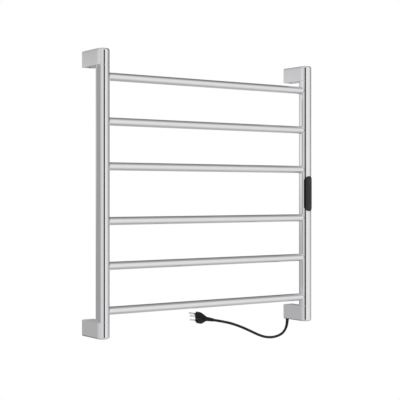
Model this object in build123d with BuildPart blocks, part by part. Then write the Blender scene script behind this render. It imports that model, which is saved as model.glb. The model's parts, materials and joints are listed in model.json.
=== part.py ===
from build123d import *
import math
import os

# Electric towel warmer: a ladder of chromed tubes that stands off a wall on four brackets.
# Frame, in millimetres: the wall is the plane Y = 0, the room is towards -Y, Z is up, and the
# origin is the centre of the four wall fixing holes. "side" is -1 for left and +1 for right,
# and "level" is -1 for lower and +1 for upper.

# ---- driving dimensions ------------------------------------------------------------------
overall_height = 670.0
upright_spacing = 612.0
upright_diameter = 32.0
upright_wall = 1.5
wall_distance = 70.0

bar_diameter = 19.0
bar_wall = 1.2
bar_pitch = 103.85
middle_gap = 126.8
bar_fit = 0.05

bracket_height = 38.7
bracket_wall = 2.0
bracket_fillet = 4.4

# ---- sizes that follow from them ---------------------------------------------------------
upright_x = upright_spacing / 2
upright_radius = upright_diameter / 2
upright_bore = upright_radius - upright_wall
tube_half = overall_height / 2 - bracket_height
bar_radius = bar_diameter / 2
bar_bore = bar_radius - bar_wall
bar_half_length = upright_x - 10.5
bar_levels = [
    direction * (middle_gap / 2 + step * bar_pitch)
    for direction in (-1, 1)
    for step in range(3)
]
bracket_middle = overall_height / 2 - bracket_height / 2
cavity_height = bracket_height - 2 * bracket_wall

# ---- spigots and their ring nuts ---------------------------------------------------------
spigot_radius = upright_bore - 0.2
spigot_length = 14.0
spigot_bore = 9.5
neck_radius = 12.0
neck_length = 8.0
neck_clearance = 0.05
ring_nut_radius = 13.6
ring_nut_height = 5.0
ring_nut_slot = 3.0
slot_reach = 2 * ring_nut_radius + 1

# ---- wall plates and grub screws ---------------------------------------------------------
plate_gap = 0.3
plate_thickness = 3.0
plate_corner = 2.0
plate_width = upright_diameter - 2 * bracket_wall - 2 * plate_gap
plate_height = cavity_height - 2 * plate_gap
wall_hole_radius = 2.6
grub_y = -10.0
grub_radius = 2.0
grub_length = 6.0
grub_proud = 0.8
hex_socket_width = 2.0
hex_socket_depth = 2.5
lug_width = 9.0
lug_depth = 11.0
lug_height = 3.2
lug_clearance = 0.1

# ---- heating cable and leads -------------------------------------------------------------
cable_radius = 2.5
cable_bend = 12.0
cable_low_end = -312.0
cable_high_end = 285.0
lead_radius = 1.5
return_radius = 1.2
lead_y = -63.0
lead_bend = 4.0
return_bend = 2.5
return_top = 291.5
supply_bottom = -316.0
supply_turn_y = -54.0

# ---- terminal block ----------------------------------------------------------------------
block_front = -44.0
block_back = -30.0
block_top = -320.5
block_width = 19.0
block_corner = 1.0
block_entry_z = -324.5
terminal_pitch = 6.0
entry_radius = 1.3
entry_depth = 5.0
well_radius = 1.7
well_depth = 2.5
terminal_screw_radius = 1.6
terminal_screw_height = 2.0
driver_slot_length = 2.6
driver_slot_width = 0.6
driver_slot_depth = 0.8
core_radius = 0.55
core_spacing = 1.3
core_bend = 1.5
core_turn_y = -19.0
core_spread_y = -27.0
core_entry = 3.0

# ---- control: a thin shell that hugs the front of the right upright -------------------------
control_width = 26.0
control_height = 92.0
control_corner = 12.0
control_proud = 1.5
control_edge = 0.8
control_outer = upright_radius + control_proud
front_y = -(wall_distance + control_outer)
seal_fit = 0.03
seal_thickness = 0.4
seal_inset = 0.2
shell_clearance = 0.02
seal_outer = upright_radius + seal_thickness
shell_inner = seal_outer + shell_clearance
face_thickness = 0.5
face_margin = 2.5
face_gap = 0.1
face_floor = control_outer - face_thickness
face_inner = face_floor + shell_clearance
face_edge = 0.15
inner_wall_radius = 15.9
inner_wall_y = -(wall_distance + inner_wall_radius)
cavity_width = 17.4
cavity_bottom = -35.0
cavity_top = 40.0
cavity_corner = 3.0
window_width = 18.6
window_bottom = -36.0
window_top = 41.0
window_corner = 4.0
hook_width = 8.0
hook_thickness = 1.5
hook_reach = 4.5
hook_front = -83.2
wall_overlap = 0.3

# ---- button, lens and board ------------------------------------------------------------------
button_z = 32.0
button_radius = 5.7
button_gap = 0.15
button_proud = 0.3
button_edge = 0.2
button_flange_radius = 6.3
button_flange = 0.7
flange_front = -84.5
button_travel = 0.8
lens_z = -32.0
lens_radius = 1.5
lens_proud = 0.1
lens_edge = 0.3
switch_width = 6.0
switch_height = 2.0
plunger_radius = 1.6
plunger_length = 1.0
plunger_gap = 0.25
board_thickness = 1.6
board_width = 14.6
board_bottom = -34.0
board_top = 36.0
board_corner = 1.0
board_post_radius = 2.2
board_screw_levels = (-20.0, 22.0)
board_screw_radius = 0.85
board_screw_fit = 0.05
board_screw_head = 1.8
board_screw_head_height = 1.1
board_screw_length = 4.2
connector_width = 8.0
connector_height = 6.0
connector_depth = 5.6
supply_lead_z = -28.0
return_lead_z = 27.0
led_size = (3.0, 2.8, 1.6)
relay_size = (10.0, 16.0, 9.0)
relay_z = 6.0
cutout_size = (7.0, 9.0, 4.0)
cutout_z = -12.5
component_corner = 0.4

# The board stands just behind the switch's plunger, which stops the button.
flange_back = flange_front + button_flange
plunger_end = flange_back + button_travel + plunger_gap
board_front = plunger_end + plunger_length + switch_height
board_y = board_front + board_thickness
connector_back = board_y + connector_depth

# ---- mains cord and plug -----------------------------------------------------------------
cord_diameter = 6.6
cord_radius = cord_diameter / 2
cord_exit = (297.0, -7.5)
relief_top = -327.5
relief_radius = 3.9
relief_collar = 4.4
relief_end_radius = 3.5
relief_seat = 0.05
plug_face_centre = (-12.4, -27.0, -309.0)
plug_heading = 8.0
plug_rise = 11.0
plug_roll = 34.0
plug_width = 34.5
plug_thickness = 16.5
plug_flat = 20.0
plug_corner = 2.0
plug_front_length = 12.0
plug_length = 26.0
plug_neck_width = 14.5
plug_neck_thickness = 11.5
plug_neck_flat = 8.0
plug_relief_length = 22.6
pin_spacing = 19.0
pin_offset = 3.0
pin_radius = 2.0
pin_length = 20.5
pin_tip = 0.8
relief_root = 5.7
relief_tip = 4.1
groove_depth = 0.5
groove_width = 0.9
groove_pitch = 3.2
groove_count = 5

os.makedirs("parts", exist_ok=True)


def save(piece, name):
    """Label a finished piece and write it as its own STEP file."""
    piece.label = name
    export_step(piece, f"parts/{name}.step")


def side_word(side):
    return "right" if side > 0 else "left"


def level_word(level):
    return "upper" if level > 0 else "lower"


def corners():
    """The four brackets' places, as (name, side, level)."""
    return [
        (f"{level_word(level)}_{side_word(side)}", side, level)
        for level in (1, -1)
        for side in (-1, 1)
    ]


def underside(level):
    """The height of a bracket's downward face."""
    return tube_half if level > 0 else -overall_height / 2


def control_window(mode):
    """The upright's window for the control."""
    with Locations((upright_x, (window_top + window_bottom) / 2)):
        RectangleRounded(window_width, window_top - window_bottom, window_corner, mode=mode)


# ---- uprights ------------------------------------------------------------------------------
def upright_tube(side):
    with BuildPart() as tube:
        with BuildSketch(Plane.XY.offset(-tube_half)):
            with Locations((side * upright_x, -wall_distance)):
                Circle(upright_radius)
                Circle(upright_bore, mode=Mode.SUBTRACT)
        extrude(amount=2 * tube_half)
        # Holes for the bars, in the inner wall only.
        with BuildSketch(Plane.YZ.offset(side * upright_x)):
            with Locations(*[(-wall_distance, level) for level in bar_levels]):
                Circle(bar_radius + bar_fit)
        extrude(amount=-side * upright_diameter, mode=Mode.SUBTRACT)
        if side > 0:
            # Window for the control.
            with BuildSketch(Plane.XZ.offset(wall_distance)):
                control_window(Mode.ADD)
            extrude(amount=upright_diameter, mode=Mode.SUBTRACT)
    return tube.part


for side in (-1, 1):
    save(upright_tube(side), f"{side_word(side)}_upright_tube")


# ---- towel bars ------------------------------------------------------------------------------
def towel_bar(level):
    with BuildPart() as bar:
        with BuildSketch(Plane.YZ.offset(-bar_half_length)):
            with Locations((-wall_distance, level)):
                Circle(bar_radius)
                Circle(bar_bore, mode=Mode.SUBTRACT)
        extrude(amount=2 * bar_half_length)
    return bar.part


for number, level in enumerate(sorted(bar_levels, reverse=True), start=1):
    save(towel_bar(level), f"towel_bar_{number}")


# ---- brackets: hollow shells, open to the wall -----------------------------------------------
def footprint(side, inset):
    """The plan of a bracket: a half round under the upright and a straight run to the wall."""
    width = upright_diameter - 2 * inset
    with Locations((side * upright_x, -wall_distance / 2)):
        Rectangle(width, wall_distance)
    with Locations((side * upright_x, -wall_distance)):
        Circle(width / 2)


def bracket(side, level):
    with BuildPart() as shell:
        with BuildSketch(Plane.XY.offset(level * tube_half)):
            footprint(side, 0)
        extrude(amount=level * bracket_height)
        end_face = shell.faces().sort_by(Axis.Z)[-1 if level > 0 else 0]
        fillet([edge for edge in end_face.edges() if edge.center().Y < -1], radius=bracket_fillet)
        with BuildSketch(Plane.XY.offset(level * (tube_half + bracket_wall))):
            footprint(side, bracket_wall)
        extrude(amount=level * cavity_height, mode=Mode.SUBTRACT)
        # Hole for the spigot's neck, in the face that meets the upright.
        with BuildSketch(Plane.XY.offset(level * tube_half)):
            with Locations((side * upright_x, -wall_distance)):
                Circle(neck_radius + neck_clearance)
        extrude(amount=level * bracket_wall, mode=Mode.SUBTRACT)
        # Threaded hole for the grub screw, in the downward wall.
        with BuildSketch(Plane.XY.offset(underside(level))):
            with Locations((side * upright_x, grub_y)):
                Circle(grub_radius + neck_clearance)
        extrude(amount=bracket_wall, mode=Mode.SUBTRACT)
        if side > 0 and level < 0:
            # Hole for the cord's strain relief.
            with BuildSketch(Plane.XY.offset(underside(level))):
                with Locations(cord_exit):
                    Circle(relief_radius + neck_clearance)
            extrude(amount=bracket_wall, mode=Mode.SUBTRACT)
    return shell.part


for name, side, level in corners():
    save(bracket(side, level), f"{name}_bracket")


# ---- spigots join the uprights to the brackets --------------------------------------------------
def spigot(side, level):
    with BuildPart() as body:
        with BuildSketch(Plane.XY.offset(level * tube_half)):
            with Locations((side * upright_x, -wall_distance)):
                Circle(spigot_radius)
        extrude(amount=-level * spigot_length)
        with BuildSketch(Plane.XY.offset(level * tube_half)):
            with Locations((side * upright_x, -wall_distance)):
                Circle(neck_radius)
        extrude(amount=level * neck_length)
        with BuildSketch(Plane.XY.offset(level * (tube_half + neck_length))):
            with Locations((side * upright_x, -wall_distance)):
                Circle(spigot_bore)
        extrude(amount=-level * (neck_length + spigot_length), mode=Mode.SUBTRACT)
    return body.part


for name, side, level in corners():
    save(spigot(side, level), f"{name}_spigot")


with BuildPart() as ring_nuts:
    for name, side, level in corners():
        nut_start = level * (tube_half + bracket_wall)
        with BuildSketch(Plane.XY.offset(nut_start)):
            with Locations((side * upright_x, -wall_distance)):
                Circle(ring_nut_radius)
                Circle(neck_radius + neck_clearance, mode=Mode.SUBTRACT)
        extrude(amount=level * ring_nut_height)
        # Four spanner slots across the nut's inner face.
        slot_height = ring_nut_height / 2
        with BuildSketch(Plane.XY.offset(nut_start + level * (ring_nut_height - slot_height))):
            with Locations((side * upright_x, -wall_distance)):
                Rectangle(slot_reach, ring_nut_slot)
                Rectangle(ring_nut_slot, slot_reach)
        extrude(amount=level * slot_height, mode=Mode.SUBTRACT)
save(ring_nuts.part, "spigot_ring_nuts")


# ---- wall plates, one inside the back of each bracket --------------------------------------------
def wall_plate(side, level):
    with BuildPart() as plate:
        with BuildSketch(Plane.XZ):
            with Locations((side * upright_x, level * bracket_middle)):
                RectangleRounded(plate_width, plate_height, plate_corner)
                Circle(wall_hole_radius, mode=Mode.SUBTRACT)
        extrude(amount=plate_thickness)
        # The lug that the grub screw bears on.
        lug_bottom = underside(level) + grub_length - grub_proud + lug_clearance
        with BuildSketch(Plane.XZ.offset(plate_thickness)):
            with Locations((side * upright_x, lug_bottom + lug_height / 2)):
                Rectangle(lug_width, lug_height)
        extrude(amount=lug_depth)
    return plate.part


for name, side, level in corners():
    save(wall_plate(side, level), f"{name}_wall_plate")


with BuildPart() as grub_screws:
    for name, side, level in corners():
        screw_bottom = underside(level) - grub_proud
        with BuildSketch(Plane.XY.offset(screw_bottom)):
            with Locations((side * upright_x, grub_y)):
                Circle(grub_radius)
        extrude(amount=grub_length)
        with BuildSketch(Plane.XY.offset(screw_bottom)):
            with Locations((side * upright_x, grub_y)):
                RegularPolygon(hex_socket_width / 2, 6, major_radius=False)
        extrude(amount=hex_socket_depth, mode=Mode.SUBTRACT)
save(grub_screws.part, "bracket_grub_screws")


# ---- heating cable: one run through every bar, turning inside the uprights ----------------------
cable_points = [(upright_x, cable_low_end)]
for turn, level in enumerate(sorted(bar_levels)):
    entry_side = 1 if turn % 2 == 0 else -1
    cable_points.append((entry_side * upright_x, level))
    cable_points.append((-entry_side * upright_x, level))
cable_points.append((upright_x, cable_high_end))

with BuildPart() as heating_cable:
    with BuildLine(Plane.XZ.offset(wall_distance)) as cable_route:
        FilletPolyline(*cable_points, radius=cable_bend)
    with BuildSketch(Plane.XY.offset(cable_low_end)):
        with Locations((upright_x, -wall_distance)):
            Circle(cable_radius)
    sweep(path=cable_route.wire())
save(heating_cable.part, "heating_cable")


# ---- leads inside the right upright, in the plane of its axis --------------------------------------
def inner_lead(points, bend, radius):
    """A round lead through (Y, Z) points, in the plane X = upright_x."""
    with BuildPart() as lead:
        with BuildLine(Plane.YZ.offset(upright_x)) as route:
            FilletPolyline(*points, radius=bend)
        start = Plane(origin=route.wire() @ 0, z_dir=route.wire() % 0)
        with BuildSketch(start):
            Circle(radius)
        sweep(path=route.wire())
    return lead.part


supply_points = [
    (connector_back, supply_lead_z),
    (lead_y, supply_lead_z),
    (lead_y, supply_bottom),
    (supply_turn_y, block_entry_z),
    (block_front, block_entry_z),
]
save(inner_lead(supply_points, lead_bend, lead_radius), "control_supply_lead")

return_points = [
    (-wall_distance, cable_high_end),
    (-wall_distance, return_top),
    (lead_y, return_top),
    (lead_y, return_lead_z),
    (connector_back, return_lead_z),
]
save(inner_lead(return_points, return_bend, return_radius), "heater_return_lead")


# ---- terminal block in the lower right bracket ------------------------------------------------------
block_bottom = -overall_height / 2 + bracket_wall
terminal_xs = [upright_x + step * terminal_pitch for step in (-1, 0, 1)]
terminal_screw_y = (block_front + block_back) / 2

with BuildPart() as terminal_block:
    with BuildSketch(Plane.XZ.offset(-block_back)):
        with Locations((upright_x, (block_top + block_bottom) / 2)):
            Rectangle(block_width, block_top - block_bottom)
    extrude(amount=block_back - block_front)
    fillet(terminal_block.edges().filter_by(Axis.Y), radius=block_corner)
    with BuildSketch(Plane.XZ.offset(-block_back)):
        with Locations(*[(x, block_entry_z) for x in terminal_xs]):
            Circle(entry_radius)
    extrude(amount=entry_depth, mode=Mode.SUBTRACT)
    with BuildSketch(Plane.XY.offset(block_top)):
        with Locations(*[(x, terminal_screw_y) for x in terminal_xs]):
            Circle(well_radius)
    extrude(amount=-well_depth, mode=Mode.SUBTRACT)
save(terminal_block.part, "terminal_block")

well_bottom = block_top - well_depth
with BuildPart() as terminal_screws:
    with BuildSketch(Plane.XY.offset(well_bottom)):
        with Locations(*[(x, terminal_screw_y) for x in terminal_xs]):
            Circle(terminal_screw_radius)
    extrude(amount=terminal_screw_height)
    with BuildSketch(Plane.XY.offset(well_bottom + terminal_screw_height)):
        with Locations(*[(x, terminal_screw_y) for x in terminal_xs]):
            Rectangle(driver_slot_length, driver_slot_width)
    extrude(amount=-driver_slot_depth, mode=Mode.SUBTRACT)
save(terminal_screws.part, "terminal_screws")


# ---- the cord's three cores, from the strain relief to the terminal block ----------------------------
def mains_core(place):
    """One core; place is -1, 0 or 1, counted across the cord and across the block."""
    core_x = cord_exit[0] + place * core_spacing
    points = [
        (core_x, cord_exit[1], relief_top),
        (core_x, cord_exit[1], block_entry_z),
        (core_x, core_turn_y, block_entry_z),
        (upright_x + place * terminal_pitch, core_spread_y, block_entry_z),
        (upright_x + place * terminal_pitch, block_back - core_entry, block_entry_z),
    ]
    with BuildPart() as core:
        with BuildLine() as route:
            FilletPolyline(*points, radius=core_bend)
        with BuildSketch(Plane.XY.offset(relief_top)):
            with Locations((core_x, cord_exit[1])):
                Circle(core_radius)
        sweep(path=route.wire())
    return core.part


save(Compound([mains_core(place) for place in (-1, 0, 1)]), "mains_cores")


# ---- control: seal, housing, face, button and lens ---------------------------------------------------
def control_outline(inset):
    """The control's outline as seen from the front, inset all round."""
    width = control_width - 2 * inset
    height = control_height - 2 * inset
    with Locations((upright_x, 0)):
        RectangleRounded(width, height, control_corner - inset)


def cavity_outline():
    with Locations((upright_x, (cavity_top + cavity_bottom) / 2)):
        RectangleRounded(cavity_width, cavity_top - cavity_bottom, cavity_corner)


def ring_about_upright(outer, inner):
    """The plan of a shell that follows the right upright's tube."""
    with Locations((upright_x, -wall_distance)):
        Circle(outer)
        Circle(inner, mode=Mode.SUBTRACT)


with BuildPart() as control_seal:
    with BuildSketch(Plane.XY.offset(-control_height / 2)):
        ring_about_upright(seal_outer, upright_radius + seal_fit)
    extrude(amount=control_height)
    with BuildSketch(Plane.XZ.offset(wall_distance)):
        control_outline(seal_inset)
        control_window(Mode.SUBTRACT)
    extrude(amount=upright_diameter, mode=Mode.INTERSECT)
save(control_seal.part, "control_seal")

# What is cut from the housing for the face.
with BuildPart() as face_recess:
    with BuildSketch(Plane.XZ.offset(wall_distance)):
        control_outline(face_margin)
    extrude(amount=upright_diameter)
    with BuildSketch(Plane.XY.offset(-control_height)):
        ring_about_upright(upright_diameter, face_floor)
    extrude(amount=2 * control_height, mode=Mode.INTERSECT)

# The thicker wall in front of the board, inside the upright's window.
with BuildPart() as inner_wall:
    with BuildSketch(Plane.XZ.offset(wall_distance)):
        cavity_outline()
    extrude(amount=upright_diameter)
    with BuildSketch(Plane.XY.offset(-control_height)):
        ring_about_upright(face_floor, inner_wall_radius)
    extrude(amount=2 * control_height, mode=Mode.INTERSECT)


def hook_profile(end, direction):
    """A hook's section, (Y, Z): in through the window's end, then along behind the tube's wall."""
    root_y = inner_wall_y - wall_overlap
    back_y = hook_front + hook_thickness
    inside = end - direction * hook_thickness
    tip = end + direction * hook_reach
    return [
        (root_y, inside),
        (back_y, inside),
        (back_y, tip),
        (hook_front, tip),
        (hook_front, end),
        (root_y, end),
    ]


with BuildPart() as control_housing:
    with BuildSketch(Plane.XZ.offset(wall_distance)):
        control_outline(0)
    extrude(amount=upright_diameter)
    with BuildSketch(Plane.XY.offset(-control_height)):
        ring_about_upright(control_outer, shell_inner)
    extrude(amount=2 * control_height, mode=Mode.INTERSECT)
    front_face = control_housing.faces().sort_by(SortBy.AREA)[-1]
    fillet(front_face.edges(), radius=control_edge)
    add(face_recess.part, mode=Mode.SUBTRACT)
    add(inner_wall.part)
    # Two posts carry the board.
    with BuildSketch(Plane.XZ.offset(-inner_wall_y + wall_overlap)):
        with Locations(*[(upright_x, level) for level in board_screw_levels]):
            Circle(board_post_radius)
            Circle(board_screw_radius + board_screw_fit, mode=Mode.SUBTRACT)
    extrude(amount=inner_wall_y - wall_overlap - board_front)
    # A hook at each end catches inside the upright's wall.
    for end, direction in ((cavity_top, 1), (cavity_bottom, -1)):
        with BuildSketch(Plane.YZ.offset(upright_x - hook_width / 2)):
            Polygon(*hook_profile(end, direction), align=None)
        extrude(amount=hook_width)
    # Holes for the button and the lens.
    with BuildSketch(Plane.XZ.offset(wall_distance)):
        with Locations((upright_x, button_z)):
            Circle(button_radius + button_gap)
        with Locations((upright_x, lens_z)):
            Circle(lens_radius + face_gap)
    extrude(amount=upright_diameter, mode=Mode.SUBTRACT)
save(control_housing.part, "control_housing")

with BuildPart() as control_face:
    with BuildSketch(Plane.XZ.offset(wall_distance)):
        control_outline(face_margin + face_gap)
        with Locations((upright_x, button_z)):
            Circle(button_radius + button_gap, mode=Mode.SUBTRACT)
        with Locations((upright_x, lens_z)):
            Circle(lens_radius + face_gap, mode=Mode.SUBTRACT)
    extrude(amount=upright_diameter)
    with BuildSketch(Plane.XY.offset(-control_height)):
        ring_about_upright(control_outer, face_inner)
    extrude(amount=2 * control_height, mode=Mode.INTERSECT)
    fillet(control_face.faces().sort_by(SortBy.AREA)[-1].edges(), radius=face_edge)
save(control_face.part, "control_face")

# The button's front follows the face; the flange behind the housing's wall keeps it in.
with BuildPart() as power_button:
    with BuildSketch(Plane.XZ.offset(-flange_front)):
        with Locations((upright_x, button_z)):
            Circle(button_radius)
    extrude(amount=upright_radius)
    with BuildSketch(Plane.XY.offset(-control_height)):
        with Locations((upright_x, -wall_distance)):
            Circle(control_outer + button_proud)
    extrude(amount=2 * control_height, mode=Mode.INTERSECT)
    fillet(power_button.faces().sort_by(Axis.Y)[0].edges(), radius=button_edge)
    with BuildSketch(Plane.XZ.offset(-flange_front)):
        with Locations((upright_x, button_z)):
            Circle(button_flange_radius)
    extrude(amount=-button_flange)
save(power_button.part, "power_button")

with BuildPart() as status_lens:
    with BuildSketch(Plane.XZ.offset(-inner_wall_y)):
        with Locations((upright_x, lens_z)):
            Circle(lens_radius)
    extrude(amount=inner_wall_y - front_y + lens_proud)
    fillet(status_lens.faces().sort_by(Axis.Y)[0].edges(), radius=lens_edge)
save(status_lens.part, "status_lens")


# ---- the board and what it carries -------------------------------------------------------------------
with BuildPart() as control_board:
    with BuildSketch(Plane.XZ.offset(-board_y)):
        with Locations((upright_x, (board_top + board_bottom) / 2)):
            RectangleRounded(board_width, board_top - board_bottom, board_corner)
        with Locations(*[(upright_x, level) for level in board_screw_levels]):
            Circle(board_screw_radius + 2 * board_screw_fit, mode=Mode.SUBTRACT)
    extrude(amount=board_thickness)
save(control_board.part, "control_board")


def board_block(size, middle, front):
    """A block on the board, size (width, height, depth): on its front or on its back."""
    width, height, depth = size
    face_y = board_front if front else board_y
    with BuildPart() as block:
        with BuildSketch(Plane.XZ.offset(-face_y)):
            with Locations((upright_x, middle)):
                Rectangle(width, height)
        extrude(amount=depth if front else -depth)
        fillet(block.edges().filter_by(Axis.Y), radius=component_corner)
    return block.part


save(board_block(led_size, lens_z, True), "status_led")
save(board_block(relay_size, relay_z, False), "heater_relay")
save(board_block(cutout_size, cutout_z, False), "thermal_cutout")

with BuildPart() as board_connectors:
    with BuildSketch(Plane.XZ.offset(-board_y)):
        with Locations((upright_x, supply_lead_z), (upright_x, return_lead_z)):
            Rectangle(connector_width, connector_height)
    extrude(amount=-connector_depth)
save(board_connectors.part, "board_connectors")

with BuildPart() as button_switch:
    with BuildSketch(Plane.XZ.offset(-board_front)):
        with Locations((upright_x, button_z)):
            Rectangle(switch_width, switch_width)
    extrude(amount=switch_height)
    with BuildSketch(Plane.XZ.offset(-board_front + switch_height)):
        with Locations((upright_x, button_z)):
            Circle(plunger_radius)
    extrude(amount=plunger_length)
save(button_switch.part, "button_switch")

with BuildPart() as board_screws:
    for level in board_screw_levels:
        with BuildSketch(Plane.XZ.offset(-board_y)):
            with Locations((upright_x, level)):
                Circle(board_screw_head)
        extrude(amount=-board_screw_head_height)
        with BuildSketch(Plane.XZ.offset(-board_y)):
            with Locations((upright_x, level)):
                Circle(board_screw_radius)
        extrude(amount=board_screw_length)
save(board_screws.part, "board_screws")


# ---- plug: a flat hexagon with three round pins, its axis set by heading, rise and roll ---------------
heading = math.radians(plug_heading)
rise = math.radians(plug_rise)
plug_axis = Vector(
    -math.cos(rise) * math.cos(heading),
    math.cos(rise) * math.sin(heading),
    math.sin(rise),
)
roll = math.radians(plug_roll)
straight_down = Vector(0, 0, -1)
down_the_face = (straight_down - plug_axis * straight_down.dot(plug_axis)).normalized()
across_the_face = plug_axis.cross(down_the_face)
pin_row = down_the_face * math.cos(roll) + across_the_face * math.sin(roll)
plug_plane = Plane(origin=plug_face_centre, x_dir=pin_row, z_dir=plug_axis)


def plug_outline(width, thickness, flat):
    """A hexagon with two long sides, of length flat, and rounded corners."""
    half_width = width / 2
    half_thickness = thickness / 2
    outline = Polygon(
        (half_width, 0),
        (flat / 2, half_thickness),
        (-flat / 2, half_thickness),
        (-half_width, 0),
        (-flat / 2, -half_thickness),
        (flat / 2, -half_thickness),
    )
    fillet(outline.vertices(), radius=plug_corner)


with BuildPart() as plug_body:
    with BuildSketch(plug_plane):
        plug_outline(plug_width, plug_thickness, plug_flat)
    extrude(amount=-plug_front_length)
    with BuildSketch(plug_plane.offset(-plug_front_length)):
        plug_outline(plug_width, plug_thickness, plug_flat)
    with BuildSketch(plug_plane.offset(-plug_length)):
        plug_outline(plug_neck_width, plug_neck_thickness, plug_neck_flat)
    loft()
save(plug_body.part, "plug_body")

with BuildPart() as plug_pins:
    with BuildSketch(plug_plane):
        with Locations((-pin_spacing / 2, 0), (pin_spacing / 2, 0), (0, pin_offset)):
            Circle(pin_radius)
    extrude(amount=pin_length)
    pin_tips = plug_pins.faces().sort_by(Axis(plug_face_centre, plug_axis))[-3:]
    fillet(pin_tips.edges(), radius=pin_tip)
save(plug_pins.part, "plug_pins")

relief_taper = math.degrees(math.atan((relief_root - relief_tip) / plug_relief_length))
with BuildPart() as plug_strain_relief:
    with BuildSketch(plug_plane.offset(-plug_length)):
        Circle(relief_root)
    extrude(amount=-plug_relief_length, taper=relief_taper)
    for groove in range(1, groove_count + 1):
        along = groove * groove_pitch
        radius_here = relief_root - (relief_root - relief_tip) * along / plug_relief_length
        with BuildSketch(plug_plane.offset(-plug_length - along)):
            Circle(relief_root + groove_depth)
            Circle(radius_here - groove_depth, mode=Mode.SUBTRACT)
        extrude(amount=-groove_width, mode=Mode.SUBTRACT)
save(plug_strain_relief.part, "plug_strain_relief")


# ---- mains cord: straight runs joined by tangent arcs ---------------------------------------------------
cord_last_run = 23.0
cord_arc_share = 0.45
cord_end = Vector(*plug_face_centre) - plug_axis * (plug_length + plug_relief_length)
cord_points = [
    (296.5, -7.5, -347.0),
    (291.3, -7.9, -361.2),
    (279.8, -9.3, -371.8),
    (262.5, -12.0, -377.5),
    (238.6, -15.8, -379.6),
    (211.8, -20.2, -376.3),
    (185.1, -24.9, -367.9),
    (156.5, -29.9, -355.8),
    (120.5, -35.2, -341.1),
    (86.0, -37.9, -329.4),
    tuple(cord_end - plug_axis * cord_last_run),
    tuple(cord_end),
]


def corner_radii(points):
    """Each corner's arc: a share of the shorter run, over the tangent of half the turn."""
    radii = []
    for before, corner, after in zip(points, points[1:], points[2:]):
        run_in = Vector(*corner) - Vector(*before)
        run_out = Vector(*after) - Vector(*corner)
        half_turn = math.radians(run_in.get_angle(run_out)) / 2
        shorter_run = min(run_in.length, run_out.length)
        radii.append(cord_arc_share * shorter_run / math.tan(half_turn))
    return radii


cord_radii = corner_radii(cord_points)
print("cord bend radii, mm:", [round(radius, 1) for radius in cord_radii])

with BuildPart() as power_cord:
    with BuildLine() as cord_route:
        FilletPolyline(*cord_points, radius=cord_radii)
    cord_line = cord_route.wire()
    cord_start = Plane(origin=cord_line @ 0, z_dir=cord_line % 0)
    with BuildSketch(cord_start):
        Circle(cord_radius)
    sweep(path=cord_line)
save(power_cord.part, "power_cord")

cord_section = math.pi * cord_radius**2
print("cord length, mm:", round(cord_line.length, 1))
print("cord volume, mm3:", round(power_cord.part.volume, 1))
print("section times length, mm3:", round(cord_section * cord_line.length, 1))

# The strain relief at the bracket: a plug in the underside, and a boot that leans with the cord.
boot_top = underside(-1) - relief_seat
with BuildPart() as cord_strain_relief:
    with BuildSketch(Plane.XY.offset(relief_top)):
        with Locations(cord_exit):
            Circle(relief_radius)
    extrude(amount=boot_top - relief_top)
    with BuildSketch(Plane.XY.offset(boot_top)):
        with Locations(cord_exit):
            Circle(relief_collar)
    with BuildSketch(cord_start):
        Circle(relief_end_radius)
    loft()
save(cord_strain_relief.part, "cord_strain_relief")
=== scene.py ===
import json
import math

import bpy
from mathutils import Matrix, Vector


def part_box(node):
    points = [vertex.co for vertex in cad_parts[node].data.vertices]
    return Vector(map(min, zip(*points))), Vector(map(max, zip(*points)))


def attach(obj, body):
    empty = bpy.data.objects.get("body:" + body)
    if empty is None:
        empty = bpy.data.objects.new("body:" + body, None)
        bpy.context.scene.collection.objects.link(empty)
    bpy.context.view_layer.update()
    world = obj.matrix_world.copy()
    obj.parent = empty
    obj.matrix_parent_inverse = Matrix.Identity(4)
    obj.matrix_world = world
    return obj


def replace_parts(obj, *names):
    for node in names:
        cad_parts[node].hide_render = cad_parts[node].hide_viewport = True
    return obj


# The looks of an electric towel warmer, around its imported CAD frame. Metres: the wall is the
# plane Y = 0, the room is towards -Y and Z is up. MM turns a size in millimetres into metres.
MM = 0.001

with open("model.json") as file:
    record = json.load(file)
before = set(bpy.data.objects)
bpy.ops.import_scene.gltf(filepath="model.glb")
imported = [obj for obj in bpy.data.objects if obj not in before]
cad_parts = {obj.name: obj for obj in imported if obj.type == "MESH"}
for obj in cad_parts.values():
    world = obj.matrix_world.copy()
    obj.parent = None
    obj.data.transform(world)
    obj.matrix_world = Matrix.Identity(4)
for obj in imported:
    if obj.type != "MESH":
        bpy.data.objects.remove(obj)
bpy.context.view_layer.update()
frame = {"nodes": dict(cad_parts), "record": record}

# ---- places and sizes read from the frame --------------------------------------------------------
left_low, left_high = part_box("left_upright_tube")
right_low, right_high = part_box("right_upright_tube")
UPRIGHT_RADIUS = (left_high.x - left_low.x) / 2
UPRIGHT_X = (right_low.x + right_high.x) / 2
RAIL_Y = (left_low.y + left_high.y) / 2
TUBE_HALF = left_high.z
OVERALL_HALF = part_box("upper_left_bracket")[1].z
BAR_COUNT = 6
BAR_NAMES = [f"towel_bar_{number}" for number in range(1, BAR_COUNT + 1)]

# ---- small sizes that give the pieces their finish -----------------------------------------------
UPRIGHT_WALL = 1.5 * MM
BRACKET_WALL = 2.0 * MM
BRACKET_FILLET = 4.4 * MM
BRACKET_FILLET_STEPS = 12
JOINT_EASE = 0.2 * MM
SUPPORT = 0.8 * MM
WELD_RADIUS = 1.1 * MM
WELD_STEPS = 6
TUBE_SEGMENTS = 128
BAR_SEGMENTS = 96
EASE_STEPS = 3
SMOOTH_ANGLE = math.radians(35)


# ---- mesh helpers --------------------------------------------------------------------------------
def raw_object(name, points, faces):
    mesh = bpy.data.meshes.new(name)
    mesh.from_pydata([tuple(point) for point in points], [], faces)
    mesh.validate()
    piece = bpy.data.objects.new(name, mesh)
    bpy.context.scene.collection.objects.link(piece)
    return piece


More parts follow.
